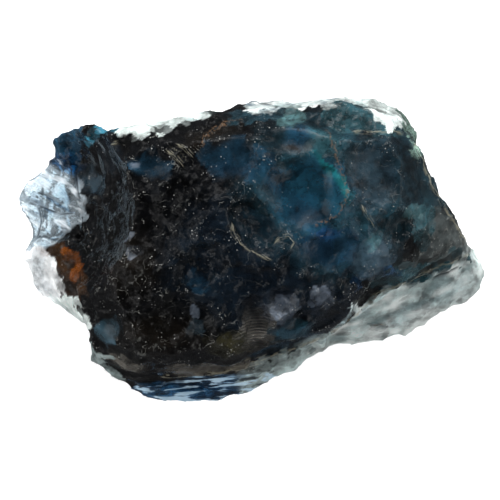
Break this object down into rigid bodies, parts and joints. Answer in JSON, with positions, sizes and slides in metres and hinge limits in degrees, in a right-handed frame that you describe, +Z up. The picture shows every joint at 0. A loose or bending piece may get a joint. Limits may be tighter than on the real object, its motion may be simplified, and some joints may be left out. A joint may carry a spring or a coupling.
{
  "type": "sapphire crystal",
  "caption": "Rough sapphire crystal: a thick blue-black block broken in shells, with thin pale flakes at one end, a pale lip and a worn shelf, lying on a small flat spot.",
  "frame": {"origin": "middle of the bounding box in X and Y, on the surface that the flat spot rests on", "axes": "+X along the stone from the pale flakes to the worn shelf, +Y across it, +Z up out of the broad dark front"},
  "size_m": [0.0126, 0.008, 0.0054],
  "materials": {
    "rough_sapphire": "glassy broken shells, blue-black where thick and clear pale blue in thin edges"
  },
  "bodies": {
    "root": {"sapphire_crystal": "rough_sapphire"}
  },
  "joints": []
}
